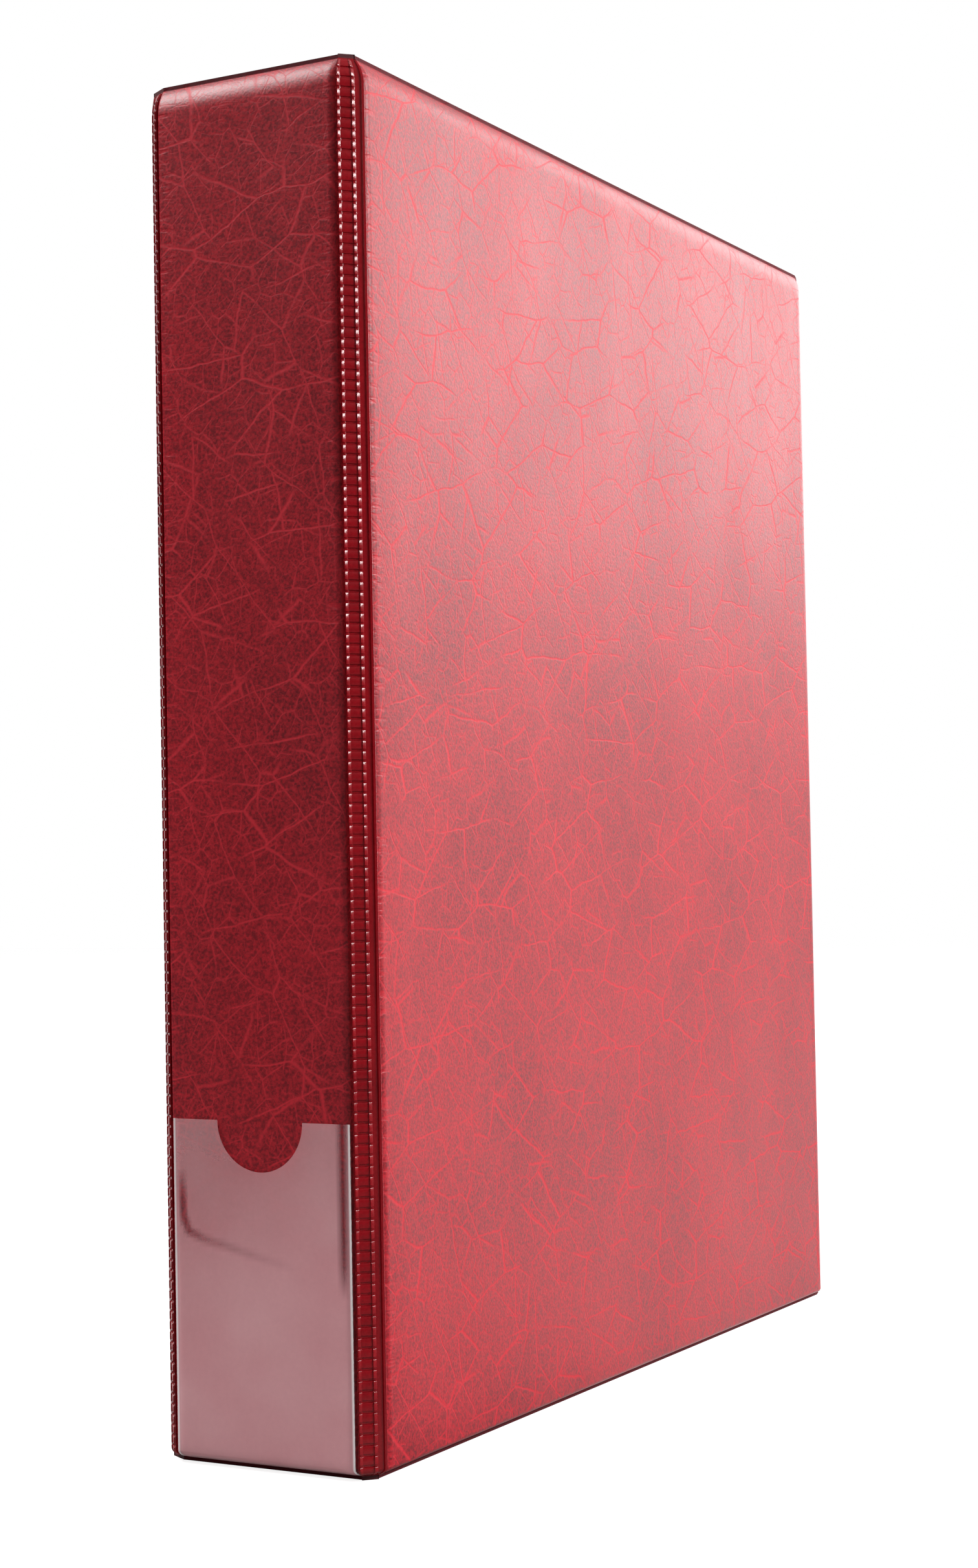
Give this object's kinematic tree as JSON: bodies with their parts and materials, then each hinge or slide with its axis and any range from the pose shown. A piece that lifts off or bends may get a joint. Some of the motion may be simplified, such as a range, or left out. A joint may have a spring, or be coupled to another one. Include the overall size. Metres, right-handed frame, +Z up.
{
  "type": "stamp album",
  "caption": "Ring-binder stamp album in welded burgundy leatherette, with a clear label pocket on the spine, D rings opened by end levers, and black stock leaves with clear strips.",
  "frame": {"origin": "middle of the closed album's footprint, on the surface that it stands on", "axes": "+Z up, +X from the back cover to the front cover, +Y from the spine to the fore-edge"},
  "size_m": [0.05, 0.23, 0.27],
  "materials": {
    "leatherette": "embossed vinyl leatherette, satin, burgundy",
    "weld_vinyl": "pressed vinyl, satin, burgundy",
    "lining_vinyl": "fine-grained vinyl, matt",
    "grey_board": "grey board, matt",
    "clear_film": "clear vinyl film, glossy",
    "nickel_steel": "nickel plated, polished",
    "black_card": "black card, matt",
    "hinge_cloth": "black bookbinding cloth tape",
    "clear_strip": "clear polyester strip, glossy"
  },
  "bodies": {
    "back_cover": {"back_board": "grey_board", "back_cover_skin": "leatherette", "back_cover_lining": "lining_vinyl", "ring_plate": "nickel_steel", "upper_lever_pin": "nickel_steel", "lower_lever_pin": "nickel_steel", "upper_rivet": "nickel_steel", "lower_rivet": "nickel_steel", "leaf_1_margin": "black_card", "leaf_1_tape": "hinge_cloth", "leaf_2_margin": "black_card", "leaf_2_tape": "hinge_cloth", "leaf_3_margin": "black_card", "leaf_3_tape": "hinge_cloth", "leaf_4_margin": "black_card", "leaf_4_tape": "hinge_cloth", "leaf_5_margin": "black_card", "leaf_5_tape": "hinge_cloth", "leaf_6_margin": "black_card", "leaf_6_tape": "hinge_cloth"},
    "spine": {"spine_board": "grey_board", "spine_skin": "leatherette", "spine_lining": "lining_vinyl", "label_pocket": "clear_film", "front_hinge_strip": "weld_vinyl", "back_hinge_strip": "weld_vinyl"},
    "front_cover": {"front_board": "grey_board", "front_cover_skin": "leatherette", "front_cover_lining": "lining_vinyl"},
    "post_half": {"post_blade": "nickel_steel", "ring_post_1": "nickel_steel", "ring_post_2": "nickel_steel", "ring_post_3": "nickel_steel", "ring_post_4": "nickel_steel"},
    "arc_half": {"arc_blade": "nickel_steel", "ring_arc_1": "nickel_steel", "ring_arc_2": "nickel_steel", "ring_arc_3": "nickel_steel", "ring_arc_4": "nickel_steel"},
    "upper_lever_arm": {"upper_lever": "nickel_steel"},
    "lower_lever_arm": {"lower_lever": "nickel_steel"},
    "leaf_1": {"leaf_1_card": "black_card", "leaf_1_pockets": "clear_strip"},
    "leaf_2": {"leaf_2_card": "black_card", "leaf_2_pockets": "clear_strip"},
    "leaf_3": {"leaf_3_card": "black_card", "leaf_3_pockets": "clear_strip"},
    "leaf_4": {"leaf_4_card": "black_card", "leaf_4_pockets": "clear_strip"},
    "leaf_5": {"leaf_5_card": "black_card", "leaf_5_pockets": "clear_strip"},
    "leaf_6": {"leaf_6_card": "black_card", "leaf_6_pockets": "clear_strip"}
  },
  "joints": [
    {"name": "spine_hinge", "type": "hinge", "parent": "back_cover", "child": "spine", "pos_m": [-0.0245, -0.1106, 0.135], "axis": [0, 0, -1], "range_deg": [0, 180]},
    {"name": "front_hinge", "type": "hinge", "parent": "spine", "child": "front_cover", "pos_m": [0.025, -0.1106, 0.135], "axis": [0, 0, -1], "range_deg": [0, 180]},
    {"name": "ring_opening", "type": "hinge", "parent": "back_cover", "child": "post_half", "pos_m": [-0.0183, -0.07995, 0.135], "axis": [0, 0, 1], "range_deg": [0, 14]},
    {"name": "arc_opening", "type": "hinge", "parent": "back_cover", "child": "arc_half", "pos_m": [-0.0183, -0.10005, 0.135], "axis": [0, 0, -1], "range_deg": [0, 14]},
    {"name": "upper_lever_press", "type": "hinge", "parent": "back_cover", "child": "upper_lever_arm", "pos_m": [-0.0182, -0.09, 0.235], "axis": [0, -1, 0], "range_deg": [0, 18.01]},
    {"name": "lower_lever_press", "type": "hinge", "parent": "back_cover", "child": "lower_lever_arm", "pos_m": [-0.0182, -0.09, 0.035], "axis": [0, 1, 0], "range_deg": [0, 18.01]},
    {"name": "leaf_1_turn", "type": "hinge", "parent": "back_cover", "child": "leaf_1", "pos_m": [-0.0112, -0.071, 0.135], "axis": [0, 0, -1], "range_deg": [0, 9.9], "deforming": ["leaf_1_tape"]},
    {"name": "leaf_2_turn", "type": "hinge", "parent": "back_cover", "child": "leaf_2", "pos_m": [-0.0094, -0.071, 0.135], "axis": [0, 0, -1], "range_deg": [0, 19.8], "deforming": ["leaf_2_tape"]},
    {"name": "leaf_3_turn", "type": "hinge", "parent": "back_cover", "child": "leaf_3", "pos_m": [-0.0076, -0.071, 0.135], "axis": [0, 0, -1], "range_deg": [0, 29.7], "deforming": ["leaf_3_tape"]},
    {"name": "leaf_4_turn", "type": "hinge", "parent": "back_cover", "child": "leaf_4", "pos_m": [-0.0058, -0.071, 0.135], "axis": [0, 0, -1], "range_deg": [0, 39.6], "deforming": ["leaf_4_tape"]},
    {"name": "leaf_5_turn", "type": "hinge", "parent": "back_cover", "child": "leaf_5", "pos_m": [-0.004, -0.071, 0.135], "axis": [0, 0, -1], "range_deg": [0, 49.5], "deforming": ["leaf_5_tape"]},
    {"name": "leaf_6_turn", "type": "hinge", "parent": "back_cover", "child": "leaf_6", "pos_m": [-0.0022, -0.071, 0.135], "axis": [0, 0, -1], "range_deg": [0, 59.4], "deforming": ["leaf_6_tape"]}
  ],
  "couplings": [
    {"joint": "arc_opening", "follows": "ring_opening", "ratio": 1},
    {"joint": "upper_lever_press", "follows": "ring_opening", "ratio": 1.2857},
    {"joint": "lower_lever_press", "follows": "ring_opening", "ratio": 1.2857},
    {"joint": "leaf_1_turn", "follows": "front_hinge", "ratio": 0.055},
    {"joint": "leaf_2_turn", "follows": "front_hinge", "ratio": 0.11},
    {"joint": "leaf_3_turn", "follows": "front_hinge", "ratio": 0.165},
    {"joint": "leaf_4_turn", "follows": "front_hinge", "ratio": 0.22},
    {"joint": "leaf_5_turn", "follows": "front_hinge", "ratio": 0.275},
    {"joint": "leaf_6_turn", "follows": "front_hinge", "ratio": 0.33}
  ]
}
